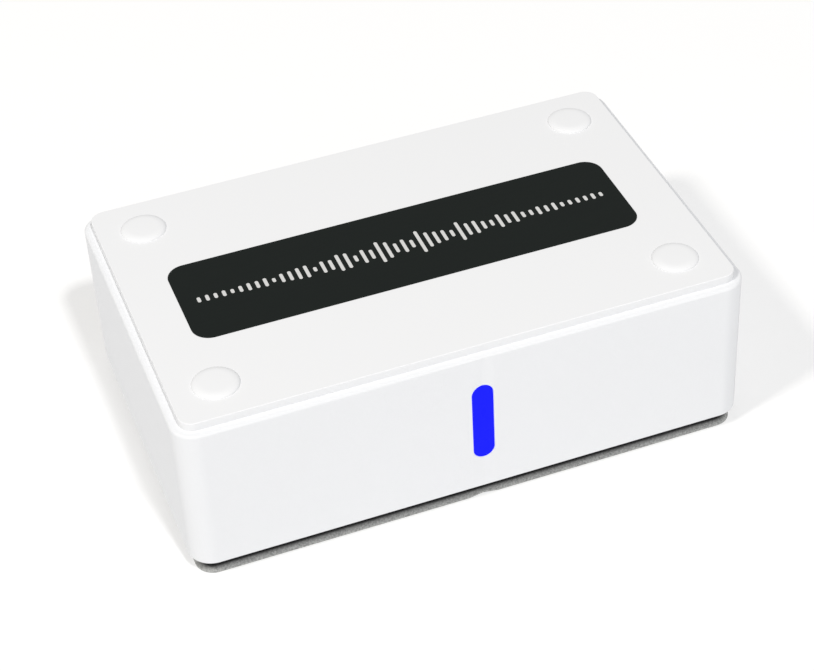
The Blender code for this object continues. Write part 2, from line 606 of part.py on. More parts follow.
make_housing()
make_top_plate()
make_label()
make_caps_screws_and_feet()
make_tray()
make_rear_panel()
make_light()
make_main_board()
make_board_pieces()
make_phono_jacks()
make_line_jack()
make_power_jack()
make_power_switch()
make_pair_button()
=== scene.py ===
"""Looks of a small bluetooth audio receiver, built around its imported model.

A white moulded case with a raised top plate, four caps and a black label stands on a grey base.
A blue light pipe glows in the front, and the sockets and controls are in a dark rear panel.
Each sub-assembly is a class that shapes its pieces, dresses them and hands them to the workshop.
"""
import json
import logging
import math
from abc import ABC, abstractmethod
from dataclasses import dataclass, field
from enum import Enum
from typing import Any, Callable, Iterator, Optional, Sequence, Union

import bmesh
import bpy
from mathutils import Matrix, Vector

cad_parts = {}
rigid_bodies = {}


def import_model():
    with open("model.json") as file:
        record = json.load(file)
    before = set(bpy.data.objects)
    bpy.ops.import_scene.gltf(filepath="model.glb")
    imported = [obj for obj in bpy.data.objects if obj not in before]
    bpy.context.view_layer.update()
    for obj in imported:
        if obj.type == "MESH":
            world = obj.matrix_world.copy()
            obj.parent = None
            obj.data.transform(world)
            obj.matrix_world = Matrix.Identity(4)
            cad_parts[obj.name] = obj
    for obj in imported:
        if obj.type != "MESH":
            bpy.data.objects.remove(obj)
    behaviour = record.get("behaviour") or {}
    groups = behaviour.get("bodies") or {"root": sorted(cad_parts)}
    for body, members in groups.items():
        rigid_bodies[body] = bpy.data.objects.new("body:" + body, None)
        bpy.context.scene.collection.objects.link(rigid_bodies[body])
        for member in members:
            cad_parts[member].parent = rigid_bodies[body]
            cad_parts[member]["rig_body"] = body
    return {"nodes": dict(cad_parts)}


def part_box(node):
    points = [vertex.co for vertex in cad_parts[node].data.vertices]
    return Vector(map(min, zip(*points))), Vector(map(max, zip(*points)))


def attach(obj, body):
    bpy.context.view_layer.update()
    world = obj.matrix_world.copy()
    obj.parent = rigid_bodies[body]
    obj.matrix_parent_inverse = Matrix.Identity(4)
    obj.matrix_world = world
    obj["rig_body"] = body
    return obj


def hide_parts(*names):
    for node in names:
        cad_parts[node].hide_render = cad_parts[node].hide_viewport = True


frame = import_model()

MM = 0.001
MERGE = 1e-6  # metres within which points are one
SMOOTH_BELOW = math.radians(32.0)  # edges bent more than this stay crisp
FLANGE = 1.5 * MM  # rim that holds the light pipe and the rear panel from inside
CLEAR = 0.3 * MM  # gap between fitted parts
BEYOND = 1.0 * MM  # how far a cutter runs past the face that it opens
Colour = tuple[float, float, float]
Profile = Sequence[tuple[float, float]]
Number = Union[float, "Signal"]
Key = Union[int, str]
log = logging.getLogger("receiver")


# ---- places in the model

@dataclass(frozen=True)
class Box:
    """The lowest and highest corner of a part at rest, in metres."""

    low: Vector
    high: Vector

    @classmethod
    def of(cls, node: str) -> "Box":
        """Return the box of a CAD node."""
        return cls(*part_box(node))

    @property
    def size(self) -> Vector:
        """Return the box's width, depth and height."""
        return self.high - self.low

    @property
    def middle(self) -> Vector:
        """Return the box's centre."""
        return (self.high + self.low) / 2

    def spanning(self, front: float, rear: float) -> "Box":
        """Return the box with its front and rear faces moved."""
        return Box(Vector((self.low.x, front, self.low.z)),
                   Vector((self.high.x, rear, self.high.z)))


class Facing(Enum):
    """The way that a turned or extruded shape's own +Z points in the finished object."""

    UP = Matrix.Identity(4)
    REAR = Matrix.Rotation(-math.pi / 2, 4, "X")
    FRONT = Matrix.Rotation(math.pi / 2, 4, "X")


class Corner(Enum):
    """The four corners of the case, by the name that their parts carry."""

    FRONT_LEFT = "front_left"
    FRONT_RIGHT = "front_right"
    REAR_LEFT = "rear_left"
    REAR_RIGHT = "rear_right"


class Channel(Enum):
    """The two channels of the phono output."""

    LEFT = "left"
    RIGHT = "right"


# ---- shaping

def stand(name: str, data: bpy.types.ID) -> bpy.types.Object:
    """Put a new object with that data in the scene."""
    thing = bpy.data.objects.new(name, data)
    bpy.context.scene.collection.objects.link(thing)
    return thing


class Form:
    """A mesh that is being shaped, in the finished object's own frame once it is placed."""

    def __init__(self) -> None:
        """Start with an empty mesh."""
        self.bm = bmesh.new()

    @classmethod
    def block(cls, size: Sequence[float], corner: float = 0.0, top: float = 0.0,
              bottom: float = 0.0, corner_steps: int = 10, rim_steps: int = 4) -> "Form":
        """Make a box about the origin with rounded upright edges and rounded rims.

        Args:
            size: Width, depth and height.
            corner: Radius of the upright edges.
            top: Radius of the upper rim.
            bottom: Radius of the lower rim.
            corner_steps: Faces round each upright edge.
            rim_steps: Faces over each rim.
        """
        form = cls()
        bmesh.ops.create_cube(form.bm, size=1.0)
        bmesh.ops.scale(form.bm, vec=Vector(size), verts=form.bm.verts)
        half = size[2] / 2
        if corner:
            form.soften(lambda e: abs(e.verts[0].co.z - e.verts[1].co.z) > half, corner,
                        corner_steps)
        for width, level in ((top, half), (bottom, -half)):
            if width:
                form.soften(lambda e: all(abs(v.co.z - level) < MERGE / 10 for v in e.verts),
                            width, rim_steps)
        return form

    @classmethod
    def filling(cls, box: Box, corner: float = 0.0, rim: float = 0.0) -> "Form":
        """Make a block that fills a box, with its rounded rim at the rear."""
        size = (box.size.x, box.size.z, box.size.y)
        return cls.block(size, corner, rim).at(box.middle, Facing.REAR)

    @classmethod
    def slot(cls, width: float, length: float, depth: float, top: float = 0.0,
             steps: int = 14) -> "Form":
        """Make a bar with round ends: width along X, length along Y, depth along Z."""
        return cls.block((width, length, depth), width * 0.4999, top, 0.0, steps, 4)

    @classmethod
    def turned(cls, profile: Profile, closed: bool = False, steps: int = 64) -> "Form":
        """Turn a profile of (radius, height) points about Z.

        Args:
            profile: Points from the top down the outer side.
            closed: True for a ring, whose last point joins the first.
            steps: Faces round the shape.
        """
        form = cls()
        points = [form.bm.verts.new((radius, 0.0, height)) for radius, height in profile]
        followers = points[1:] + points[:1] if closed else points[1:]
        edges = [form.bm.edges.new(pair) for pair in zip(points, followers)]
        bmesh.ops.spin(form.bm, geom=points + edges, cent=(0, 0, 0), axis=(0, 0, 1),
                       dvec=(0, 0, 0), angle=2 * math.pi, steps=steps, use_merge=True,
                       use_duplicate=False)
        bmesh.ops.remove_doubles(form.bm, verts=form.bm.verts, dist=MERGE)
        bmesh.ops.recalc_face_normals(form.bm, faces=form.bm.faces)
        return form

    @classmethod
    def rod(cls, radius: float, low: float, high: float, edge: float = 0.0,
            steps: int = 48) -> "Form":
        """Make a cylinder about Z whose upper rim is rounded by edge."""
        return cls.turned([(0, high), *arc_down(radius, high, edge), (radius, low), (0, low)],
                          steps=steps)

    def at(self, place: Sequence[float], facing: Facing = Facing.UP) -> "Form":
        """Turn the form to face a way, then move it to its place."""
        bmesh.ops.transform(self.bm, matrix=Matrix.Translation(Vector(place)) @ facing.value,
                            verts=self.bm.verts)
        return self

    def on_upright(self, box: Box) -> "Form":
        """Move the form to the upright line through a box's middle."""
        return self.at((box.middle.x, box.middle.y, 0))

    def on_level(self, box: Box) -> "Form":
        """Turn the form to face the rear, on the level line through a box's middle."""
        return self.at((box.middle.x, 0, box.middle.z), Facing.REAR)

    def spun(self, angle: float) -> "Form":
        """Turn the form about Z."""
        bmesh.ops.rotate(self.bm, cent=(0, 0, 0), matrix=Matrix.Rotation(angle, 3, "Z"),
                         verts=self.bm.verts)
        return self

    def soften(self, chosen: Callable[[bmesh.types.BMEdge], bool], width: float,
               steps: int = 3) -> "Form":
        """Round the edges that a test chooses."""
        edges = [edge for edge in self.bm.edges if chosen(edge)]
        bmesh.ops.bevel(self.bm, geom=edges, offset=width, offset_type='OFFSET', segments=steps,
                        profile=0.5, affect='EDGES', material=-1, clamp_overlap=True)
        return self

    def add(self, other: "Form") -> "Form":
        """Take in another form as a loose body."""
        loose = other.mesh("loose")
        self.bm.from_mesh(loose)
        bpy.data.meshes.remove(loose)
        return self

    def cut(self, *tools: "Form") -> "Form":
        """Cut other forms away."""
        for tool in tools:
            self._combine(tool, 'DIFFERENCE')
        return self

    def fuse(self, *tools: "Form") -> "Form":
        """Grow together with other forms."""
        for tool in tools:
            self._combine(tool, 'UNION')
        return self

    def _combine(self, tool: "Form", operation: str) -> None:
        """Run one exact Boolean on throw-away objects and take the result."""
        body, other = (stand("throw_away", form.mesh("throw_away")) for form in (self, tool))
        modifier = body.modifiers.new("combine", 'BOOLEAN')
        modifier.operation = operation
        modifier.solver = 'EXACT'
        modifier.object = other
        shaped = body.evaluated_get(bpy.context.evaluated_depsgraph_get())
        self.bm = bmesh.new()
        self.bm.from_mesh(shaped.to_mesh())
        shaped.to_mesh_clear()
        for used in (body, other):
            mesh = used.data
            bpy.data.objects.remove(used)
            bpy.data.meshes.remove(mesh)

    def mesh(self, name: str) -> bpy.types.Mesh:
        """Turn the form into a mesh, which ends its shaping."""
        mesh = bpy.data.meshes.new(name)
        self.bm.to_mesh(mesh)
        self.bm.free()
        return mesh

    def object(self, name: str) -> bpy.types.Object:
        """Make the finished object at the origin, smooth but for its sharp edges."""
        mesh = self.mesh(name)
        mesh.shade_smooth()
        mesh.set_sharp_from_angle(angle=SMOOTH_BELOW)
        thing = stand(name, mesh)
        weigh = thing.modifiers.new("even_shading", 'WEIGHTED_NORMAL')
        weigh.keep_sharp = True
        return thing


def arc_down(radius: float, high: float, width: float, drop: Optional[float] = None,
             steps: int = 6) -> Iterator[tuple[float, float]]:
    """Give the profile points over an outer rim, from the flat top round to the side.

    The rounding starts width inside the radius, and ends drop, or else width, below the top.
    """
    if not width:
        yield radius, high
        return
    fall = width if drop is None else drop
    for step in range(steps + 1):
        turn = math.pi / 2 * step / steps
        yield radius - width * (1 - math.sin(turn)), high - fall * (1 - math.cos(turn))


def lip_up(radius: float, high: float, width: float,
           steps: int = 4) -> Iterator[tuple[float, float]]:
    """Give the profile points over an inner rim, from the bore's side up to the flat top."""
    for step in range(steps + 1):
        turn = math.pi / 2 * step / steps
        yield radius + width * (1 - math.cos(turn)), high - width * (1 - math.sin(turn))


# ---- shader recipes

def operator(operation: str, reflected: bool = False) -> Callable[..., "Signal"]:
    """Make the method that adds one Math node for a Python operator."""
    def method(self: "Signal", *others: Number) -> "Signal":
        values = (*others, self) if reflected else (self, *others)
        return self.recipe.node("ShaderNodeMath", {"operation": operation},
                                dict(enumerate(values)))
    return method


class Signal:
    """A shader value that Python's operators work on."""

    __add__, __radd__ = operator("ADD"), operator("ADD", True)
    __sub__, __rsub__ = operator("SUBTRACT"), operator("SUBTRACT", True)
    __mul__ = operator("MULTIPLY")
    __abs__ = operator("ABSOLUTE")
    most = operator("MAXIMUM")

    def __init__(self, recipe: "Recipe", socket: bpy.types.NodeSocket) -> None:
        """Wrap one output socket."""
        self.recipe = recipe
        self.socket = socket

    def fade(self, start: float, end: float) -> "Signal":
        """Rise smoothly from 0 at start to 1 at end."""
        return self.recipe.node("ShaderNodeMapRange", {"interpolation_type": 'SMOOTHSTEP'},
                                {0: self, 1: start, 2: end, 3: 0.0, 4: 1.0})


class Recipe:
    """Builds one material's nodes around a Principled BSDF."""

    def __init__(self, name: str) -> None:
        """Start a material of that name."""
        self.material = bpy.data.materials.new(name)
        self.material.use_nodes = True
        self.tree = self.material.node_tree
        self.shader = self.tree.nodes["Principled BSDF"]

    def node(self, kind: str, settings: Optional[dict[str, Any]] = None,
             inputs: Optional[dict[Key, Any]] = None, output: Key = 0) -> Signal:
        """Add a node.

        Args:
            kind: The node's type.
            settings: Its own settings, set first.
            inputs: Values or signals for its sockets, by place or name.
            output: Which of its outputs to hand back.

        Returns:
            The chosen output.
        """
        node = self.tree.nodes.new(kind)
        for key, value in (settings or {}).items():
            setattr(node, key, value)
        for key, value in (inputs or {}).items():
            self.feed(node.inputs[key], value)
        return Signal(self, node.outputs[output])

    def feed(self, socket: bpy.types.NodeSocket, value: Any) -> None:
        """Link a signal to a socket, or set the socket's own value."""
        if isinstance(value, Signal):
            self.tree.links.new(value.socket, socket)
        elif socket.type == 'RGBA':
            socket.default_value = (*value, 1.0)
        else:
            socket.default_value = value

    def place(self, stretch: Colour = (1, 1, 1), centre: Colour = (0, 0, 0)) -> Signal:
        """Give the object's own coordinates, centred, then stretched."""
        own = self.node("ShaderNodeTexCoord", output="Object")
        moved = tuple(-c * along for c, along in zip(centre, stretch))
        return self.node("ShaderNodeMapping", {"vector_type": 'POINT'},
                         {"Vector": own, "Location": moved, "Scale": stretch})

    def axis(self, letter: str, where: Signal) -> Signal:
        """Give one coordinate of a place."""
        return self.node("ShaderNodeSeparateXYZ", inputs={0: where}, output="XYZ".index(letter))

    def noise(self, where: Signal, size: float, detail: float = 2.0,
              roughness: float = 0.5) -> Signal:
        """Give soft random patches about as wide as size."""
        return self.node("ShaderNodeTexNoise", {}, {
            "Vector": where, "Scale": 1.0 / size, "Detail": detail, "Roughness": roughness})

    def cells(self, where: Signal, size: float) -> Signal:
        """Give the distance from the middle of cells of that size."""
        return self.node("ShaderNodeTexVoronoi", {}, {"Vector": where, "Scale": 1.0 / size},
                         "Distance")

    def blend(self, amount: Number, first: Any, second: Any) -> Signal:
        """Mix two colours."""
        return self.node("ShaderNodeMix", {"data_type": 'RGBA'},
                         {0: amount, 6: first, 7: second}, 2)

    def shade(self, colour: Colour, amount: Signal, swing: float) -> Signal:
        """Make a colour lighter and darker by swing as amount goes from 0 to 1."""
        dark, light = (tuple(min(1.0, c * (1 + side * swing)) for c in colour)
                       for side in (-1, 1))
        return self.blend(amount, dark, light)

    def relief(self, height: Signal, depth: float) -> Signal:
        """Give the normal of a surface raised by height times depth, in metres."""
        return self.node("ShaderNodeBump", {},
                         {"Strength": 1.0, "Distance": depth, "Height": height})


# ---- finishes

@dataclass(frozen=True)
class Finish(ABC):
    """What a piece is made of: its material's name, and a slot name, which is not used."""

    name: str
    slot: str

    @abstractmethod
    def mix(self, make: Recipe) -> dict[str, Any]:
        """Give the shader's sockets, named with underscores for spaces."""

    def material(self) -> bpy.types.Material:
        """Make the material."""
        make = Recipe(self.name)
        for socket, value in self.mix(make).items():
            make.feed(make.shader.inputs[socket.replace("_", " ")], value)
        return make.material


@dataclass(frozen=True)
class Moulded(Finish):
    """Moulded plastic with the fine pits of a spark-eroded tool."""

    colour: Colour
    roughness: float = 0.5
    grain: float = 0.35 * MM
    depth: float = 0.012 * MM
    tone: float = 0.012
    gloss: float = 0.4

    def mix(self, make: Recipe) -> dict[str, Any]:
        here = make.place()
        pits = make.noise(here, self.grain, 3.0, 0.6)
        clouds = make.noise(here, 14 * MM, 2.0)
        fine = make.noise(here, self.grain * 0.4, 1.0)
        return dict(
            Base_Color=make.shade(self.colour, clouds * 0.5 + fine * 0.5, self.tone),
            Roughness=self.roughness + (pits - 0.5) * 0.12,
            Normal=make.relief(pits, self.depth), Specular_IOR_Level=self.gloss)


@dataclass(frozen=True)
class SpeckledWithPaintedShade(Finish):
    """Speckled plastic whose colour passes into a dark one between two heights: painted shade,
    darker towards the upper height.
    """

    colour: Colour
    dark: Colour
    low: float
    high: float

    def mix(self, make: Recipe) -> dict[str, Any]:
        here = make.place()
        height = make.axis("Z", here)
        pits = make.noise(here, 0.35 * MM, 3.0, 0.6)
        speckle = make.noise(here, 0.32 * MM, 2.0, 0.7)
        # painted shade: the colour darkens from low to high, as in the shadow under an overhang;
        # the speckle is the plastic's own grain
        fade = height.fade(self.low, self.high)
        painted_shade_and_speckle = (fade + (speckle - 0.42) * (1 - fade) * 1.8).most(0.0)
        return dict(Base_Color=make.blend(painted_shade_and_speckle, self.colour, self.dark),
                         Roughness=0.55 + (pits - 0.5) * 0.15,
                         Normal=make.relief(pits, 0.015 * MM), Specular_IOR_Level=0.25)


@dataclass(frozen=True)
class Lacquered(Finish):
    """A smooth painted or printed plate with the faint grain of its rolled sheet."""

    colour: Colour
    roughness: float = 0.4
    gloss: float = 0.1

    def mix(self, make: Recipe) -> dict[str, Any]:
        rolled = make.noise(make.place(stretch=(0.12, 1, 1)), 0.3 * MM, 3.0, 0.6)
        peel = make.noise(make.place(), 1.6 * MM, 1.0)
        return dict(Base_Color=make.shade(self.colour, rolled, 0.08),
                         Roughness=self.roughness + (rolled - 0.5) * 0.1,
                         Normal=make.relief(peel, 0.006 * MM), Specular_IOR_Level=self.gloss)


@dataclass(frozen=True)
class Lit(Finish):
    """Clear or tinted plastic with light coming through it, dimmer away from its lamps."""

    colour: Colour
    glow: Colour
    strength: float
    middle: Colour
    reach: float

    def mix(self, make: Recipe) -> dict[str, Any]:
        height = make.axis("Z", make.place(centre=self.middle))
        edge = abs(height).fade(self.reach * 0.8, self.reach * 1.25)
        cloud = make.noise(make.place(), 2.5 * MM, 2.0)
        dim = (edge * 0.16 + (cloud - 0.5) * 0.03).most(0.0)
        return dict(Base_Color=make.shade(self.colour, cloud, 0.05),
                         Roughness=0.28 + (cloud - 0.5) * 0.06,
                         Emission_Color=make.blend(dim, self.glow, (0.0, 0.0, 0.35)),
                         Emission_Strength=self.strength, Specular_IOR_Level=0.02)


@dataclass(frozen=True)
class Metal(Finish):
    """Plated or bare metal with fine lines along or round it."""

    colour: Colour
    roughness: float = 0.28
    lines: Colour = (1.0, 0.05, 1.0)
    depth: float = 0.003 * MM

    def mix(self, make: Recipe) -> dict[str, Any]:
        drawn = make.noise(make.place(stretch=self.lines), 0.12 * MM, 3.0, 0.6)
        stain = make.noise(make.place(), 3 * MM, 3.0)
        return dict(Base_Color=make.shade(self.colour, stain, 0.07), Metallic=1.0,
                         Roughness=self.roughness + (drawn - 0.5) * 0.14 + (stain - 0.5) * 0.1,
                         Normal=make.relief(drawn, self.depth))


@dataclass(frozen=True)
class SolderMask(Finish):
    """Circuit board: green mask over copper tracks, with bare pads in rows."""

    colour: Colour = (0.018, 0.13, 0.05)
    track: Colour = (0.03, 0.2, 0.085)
    pitch: float = 1.27 * MM

    def mix(self, make: Recipe) -> dict[str, Any]:
        here = make.place()
        pattern = {"offset": 0.5, "squash": 1.6, "squash_frequency": 3}
        runs = make.node("ShaderNodeTexBrick", pattern, {
            "Vector": here, "Color1": (1, 1, 1), "Color2": (1, 1, 1), "Mortar": (0, 0, 0),
            "Scale": 1.0, "Mortar Size": 0.12 * MM, "Mortar Smooth": 0.1,
            "Brick Width": 4 * self.pitch, "Row Height": self.pitch}, "Fac")
        weave = make.noise(here, 0.5 * MM, 2.0)
        vias = 1 - make.cells(here, 3.1 * MM).fade(0.07, 0.09)
        copper = runs.most(vias)
        return dict(Base_Color=make.blend(copper, self.colour, self.track),
                         Roughness=0.36 + weave * 0.12,
                         Normal=make.relief(copper + weave * 0.15, 0.02 * MM))


@dataclass(frozen=True)
class Rubbery(Finish):
    """Dull rubber with a dusting of fine marks."""

    colour: Colour = (0.03, 0.03, 0.031)

    def mix(self, make: Recipe) -> dict[str, Any]:
        dust = make.noise(make.place(), 0.9 * MM, 4.0, 0.65)
        dull = make.noise(make.place(), 0.2 * MM, 2.0)
        return dict(Base_Color=make.blend(dust.fade(0.5, 0.8) * 0.35, self.colour,
                                               (0.13, 0.13, 0.125)),
                         Roughness=0.78 + (dull - 0.5) * 0.15, Normal=make.relief(dull, 0.02 * MM))


@dataclass(frozen=True)
class Ground(Finish):
    """The plain pale floor, lit a little from below as a light table is."""

    colour: Colour = (0.6, 0.6, 0.6)
    glow: float = 0.403

    def mix(self, make: Recipe) -> dict[str, Any]:
        paper = make.noise(make.place(), 40 * MM, 2.0)
        return dict(Base_Color=make.shade(self.colour, paper, 0.003), Roughness=0.9,
                         Specular_IOR_Level=0.0, Emission_Color=(1.0, 1.0, 1.0),
                         Emission_Strength=self.glow)


# ---- workshop

@dataclass
class Workshop:
    """Dresses pieces, puts them on their bodies and hides the CAD nodes that they replace."""

    dressed: dict[str, bpy.types.Material] = field(default_factory=dict)

    def material(self, finish: Finish) -> bpy.types.Material:
        """Return a finish's material, made once."""
        if finish.name not in self.dressed:
            self.dressed[finish.name] = finish.material()
        return self.dressed[finish.name]

    def deliver(self, name: str, form: Form, finish: Finish, node: str,
                replaces: bool = True) -> None:
        """Finish a piece.

        Args:
            name: The piece's name.
            form: Its shape, in place.
            finish: What it is made of.
            node: The CAD node it stands for, or else is fixed to.
            replaces: False for a piece that is only fixed to the node.
        """
        thing = form.object(name)
        thing.data.materials.append(self.material(finish))
        body = frame["nodes"][node]["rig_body"]
        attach(thing, body)
        if replaces:
            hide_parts(node)
        log.info("%s: %d faces, rides on %s", name, len(thing.data.polygons), body)

    def dress(self, node: str, finish: Finish) -> None:
        """Give a CAD node that stays its finish."""
        data = frame["nodes"][node].data
        data.materials.clear()
        data.materials.append(self.material(finish))
        log.info("%s: kept, in %s", node, finish.name)


# ---- finishes of this object

CASE_WHITE = Moulded("case_white", "white_plastic", (0.815, 0.823, 0.84), 0.6, 0.42 * MM,
                     0.034 * MM, 0.012, 0.04)
PLATE_WHITE = Moulded("plate_white", "white_plastic", (0.843, 0.848, 0.86), 0.55, 0.3 * MM,
                      0.004 * MM, 0.004, 0.1)
PANEL_CHARCOAL = Moulded("panel_charcoal", "panel_charcoal", (0.028, 0.028, 0.03), 0.55,
                         0.4 * MM, 0.03 * MM, 0.1, 0.3)
SOCKET_BLACK = Moulded("socket_black", "jack_black", (0.016, 0.016, 0.017), 0.42, 0.25 * MM,
                       0.006 * MM, 0.08)
CHIP_BLACK = Moulded("chip_black", "chip_black", (0.02, 0.02, 0.021), 0.55, 0.12 * MM,
                     0.01 * MM, 0.1, 0.3)
FERRITE = Moulded("ferrite", "ferrite_grey", (0.06, 0.06, 0.063), 0.62, 0.15 * MM, 0.015 * MM,
                  0.12, 0.3)
CERAMIC = Moulded("ceramic", "ceramic_white", (0.72, 0.7, 0.64), 0.45, 0.2 * MM, 0.005 * MM, 0.03)
RING_PALE = Moulded("ring_pale", "pale_plastic", (0.72, 0.72, 0.7), 0.38, 0.3 * MM, 0.003 * MM,
                    0.02)
RING_RED = Moulded("ring_red", "red_plastic", (0.52, 0.014, 0.014), 0.38, 0.3 * MM, 0.003 * MM,
                   0.04)
LABEL_BLACK = Lacquered("label_black", "black_plate", (0.0132, 0.0162, 0.015), 0.42, 0.05)
PRINT_PALE = Lacquered("print_pale", "pale_plastic", (0.66, 0.66, 0.65), 0.5, 0.2)
STEEL = Metal("nickel_plate", "plated_steel", (0.62, 0.61, 0.59))
GOLD = Metal("gold_plate", "gold_plate", (0.86, 0.62, 0.27), 0.2, (1.0, 0.08, 1.0), 0.002 * MM)
CAN = Metal("drawn_can", "capacitor_can", (0.72, 0.72, 0.74), 0.24, (1.0, 1.0, 0.06))
BOARD = SolderMask("solder_mask", "board_green")
FOOT = Rubbery("foot_rubber", "grey_rubber")


# ---- case

@dataclass
class Case:
    """Housing, raised plate, label, caps, screws, base and feet."""

    shop: Workshop
    corner: float = 4.3 * MM
    wall: float = 2.2 * MM
    rim_round: float = 0.5 * MM
    lower_round: float = 0.4 * MM
    plate_corner: float = 2.5 * MM
    plate_round: float = 0.14 * MM
    label_corner: float = 3.3 * MM
    press_fit: float = -0.01 * MM
    recess: float = 1.0 * MM
    column: float = 4.2 * MM
    screw_head: float = 3.0 * MM
    screw_seat: float = 2.3 * MM
    screw_hole: float = 1.75 * MM
    valley_width: float = 4.4 * MM
    valley_depth: float = 0.12 * MM
    front_edges: float = 0.09 * MM
    cap_round: float = 1.6 * MM
    base_corner: float = 3.4 * MM
    skirt: float = 0.36 * MM
    notch: float = 0.45 * MM
    floor: float = 2.2 * MM
    lip_top: float = 6.5 * MM
    lip_wall: float = 1.5 * MM
    strokes: int = 51
    stroke_pitch: float = 1.47 * MM
    stroke_width: float = 0.62 * MM

    def __post_init__(self) -> None:
        """Read the places of the parts that the rest is fitted to."""
        self.housing = Box.of("upper_housing")
        self.plate = Box.of("top_plate")
        self.tray = Box.of("base_tray")
        self.pipe = Box.of("light_pipe")

    def build(self) -> None:
        """Make every piece of the case."""
        self.make_shell()
        self.make_plate()
        self.make_label()
        self.make_base()
        for corner in Corner:
            self.make_corner(corner)

    def valley(self, width: float, depth: float, front: float) -> Form:
        """Make the three-sided bar that cuts the upright valley in a front face."""
        bar = Form.block((2 * width, 2 * depth, 2 * self.housing.size.z))
        for vert in bar.bm.verts:
            if vert.co.y > 0:
                vert.co.x = 0.0
        bmesh.ops.remove_doubles(bar.bm, verts=bar.bm.verts, dist=MERGE)
        return bar.at((self.pipe.middle.x, front, self.housing.middle.z))

    def make_shell(self) -> None:
        """White housing: walls, rim and ceiling, hollow from below."""
        box, wall = self.housing, self.wall
        shell = Form.block(box.size, self.corner, self.rim_round, self.lower_round, 16, 6)
        shell.at(box.middle)
        ceiling = box.high.z - self.recess - wall
        inside = Form.block((box.size.x - 2 * wall, box.size.y - 2 * wall, box.size.z),
                            self.corner - wall)
        shell.cut(inside.at((box.middle.x, box.middle.y, ceiling - box.size.z / 2)),
                  self.seat(self.plate, self.plate_corner, 2 * self.recess, box.high.z))
        head, hole, split = self.screw_head, self.screw_hole, self.tray.high.z + CLEAR
        for corner in Corner:
            screw = Box.of(f"case_screw_{corner.value}")
            seat = screw.high.z - self.screw_seat
            shell.fuse(Form.rod(self.column, split, ceiling + wall / 2).on_upright(screw))
            bore = [(0, box.high.z), (head, box.high.z), (head, seat), (hole, seat),
                    (hole, split - wall), (0, split - wall)]
            shell.cut(Form.turned(bore, steps=40).on_upright(screw))
        shell.cut(self.valley(self.valley_width, self.valley_depth, box.low.y),
                  self.pipe_slot(), self.rear_window())
        front = box.low.y + 1.0 * MM
        shell.soften(lambda e: e.is_manifold and e.calc_face_angle(0) > 0.9
                     and all(v.co.y < front and v.co.z > box.low.z + wall for v in e.verts),
                     self.front_edges, 2)
        self.shop.deliver("housing_shell", shell, CASE_WHITE, "upper_housing")

    def seat(self, part: Box, corner: float, depth: float, level: float) -> Form:
        """Make the cutter for the seat that a plate is pressed into."""
        gap = self.press_fit
        hollow = Form.block((part.size.x + 2 * gap, part.size.y + 2 * gap, depth), corner + gap,
                            corner_steps=14)
        return hollow.at((part.middle.x, part.middle.y, level))

    def pipe_slot(self) -> Form:
        """Make the cutter for the slot that the light pipe's nose fills."""
        pipe, gap = self.pipe, 0.06 * MM
        slot = Form.slot(pipe.size.x - 2 * FLANGE + 2 * gap, pipe.size.z - 2 * FLANGE + 2 * gap,
                         4 * self.wall)
        return slot.at((pipe.middle.x, self.housing.low.y, pipe.middle.z), Facing.REAR)

    def rear_window(self) -> Form:
        """Make the cutter for the window that the rear panel fills."""
        panel = Box.of("rear_panel")
        width = panel.size.x - 2 * FLANGE + CLEAR
        top = panel.high.z - FLANGE + CLEAR
        height = top - self.tray.low.z
        window = Form.block((width, 4 * self.wall, height))
        return window.at((self.housing.middle.x, self.housing.high.y, top - height / 2))

    def make_plate(self) -> None:
        """Raised white plate with its seats for the label and the caps."""
        box, label = self.plate, Box.of("label_plate")
        plate = Form.block(box.size, self.plate_corner, self.plate_round, 0.0, 14, 5)
        plate.at(box.middle)
        plate.cut(self.seat(label, self.label_corner, 2 * label.size.z, box.high.z + 0.2 * MM))
        for corner in Corner:
            cap = Box.of(f"screw_cap_{corner.value}")
            hole = Form.rod(cap.size.x / 2 + self.press_fit, box.low.z - BEYOND,
                            box.high.z + BEYOND, steps=72)
            plate.cut(hole.on_upright(cap))
        self.shop.deliver("raised_plate", plate, PLATE_WHITE, "top_plate")

    def make_label(self) -> None:
        """Black label with a row of pale strokes, like a level meter's trace."""
        box = Box.of("label_plate")
        plate = Form.block(box.size, self.label_corner, 0.08 * MM, 0.0, 16, 2).at(box.middle)
        self.shop.deliver("label", plate, LABEL_BLACK, "label_plate")
        strokes, half = Form(), (self.strokes - 1) / 2
        for number in range(self.strokes):
            swell = 0.55 + 0.45 * math.cos(math.pi * (number - half) / half)
            ripple = 0.5 + 0.5 * math.sin(number * 1.9) * math.cos(number * 0.7)
            height = (1.1 + 5.6 * swell * ripple) * MM
            bar = Form.slot(self.stroke_width, height, 0.05 * MM, steps=5)
            strokes.add(bar.at((box.middle.x + (number - half) * self.stroke_pitch,
                                box.middle.y, box.high.z)))
        self.shop.deliver("label_strokes", strokes, PRINT_PALE, "label_plate", replaces=False)

